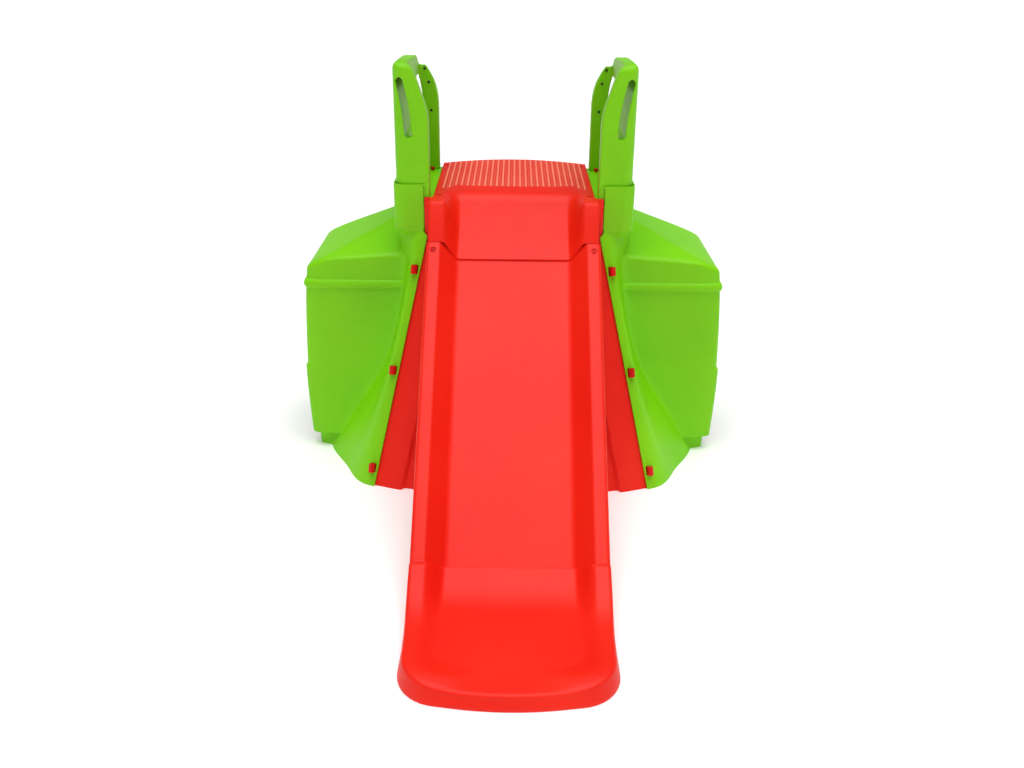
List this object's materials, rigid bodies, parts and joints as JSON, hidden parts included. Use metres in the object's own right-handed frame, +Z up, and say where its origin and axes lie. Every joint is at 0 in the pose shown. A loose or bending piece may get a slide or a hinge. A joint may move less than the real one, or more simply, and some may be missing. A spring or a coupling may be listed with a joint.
{
  "type": "toddler slide",
  "caption": "Free-standing moulded toddler slide: a straight chute with a run-out toe, a deck between two handrails, and a flared tower with a crawl-through tunnel.",
  "frame": {"origin": "on the ground, at the middle of the whole slide's length and width", "axes": "+Z up, +X to the right as seen from the toe, the slide runs down towards -Y and the climbing side faces +Y"},
  "size_m": [1.322, 1.9644, 1.224],
  "materials": {
    "green_polyethylene": "satin",
    "red_polyethylene": "satin",
    "red_fittings": "semi-gloss",
    "zinc_plated_steel": "zinc plated"
  },
  "bodies": {
    "root": {"deck": "red_polyethylene", "slide_chute": "red_polyethylene", "slide_toe": "red_polyethylene", "front_panel": "red_polyethylene", "rear_climb_panel": "red_polyethylene", "deck_screws": "red_fittings", "deck_nuts": "zinc_plated_steel", "chute_screws": "red_fittings", "toe_screws": "zinc_plated_steel", "right_side_shell": "green_polyethylene", "right_handrail": "green_polyethylene", "right_handrail_pins": "red_fittings", "right_handrail_screws": "zinc_plated_steel", "right_front_pegs": "red_fittings", "right_rear_pegs": "red_fittings", "left_side_shell": "green_polyethylene", "left_handrail": "green_polyethylene", "left_handrail_pins": "red_fittings", "left_handrail_screws": "zinc_plated_steel", "left_front_pegs": "red_fittings", "left_rear_pegs": "red_fittings"}
  },
  "joints": []
}
